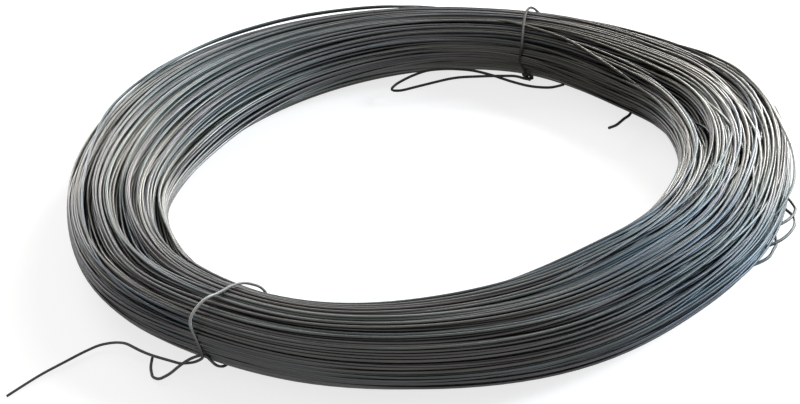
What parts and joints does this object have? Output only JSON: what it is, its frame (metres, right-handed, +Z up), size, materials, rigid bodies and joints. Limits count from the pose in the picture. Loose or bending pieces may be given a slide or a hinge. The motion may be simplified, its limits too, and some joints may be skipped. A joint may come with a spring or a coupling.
{
  "type": "tied coil of annealed iron wire",
  "caption": "Low round coil of dark annealed iron wire lying flat, drawn in by twisted wire ties with loose tails.",
  "frame": {"origin": "on the coil's own axis, on the floor that it lies on", "axes": "+Z up along the coil's axis, +X to the right and +Y away from the side where the twisted front tie is"},
  "size_m": [0.5939, 0.5694, 0.0497],
  "materials": {
    "coil_wire": "dark annealed iron with a thin oxide skin, half bright where it was drawn",
    "tie_wire": "dark annealed iron with a thin oxide skin"
  },
  "bodies": {
    "root": {"wire_coil": "coil_wire", "front_tie": "tie_wire", "back_tie": "tie_wire"}
  },
  "joints": []
}
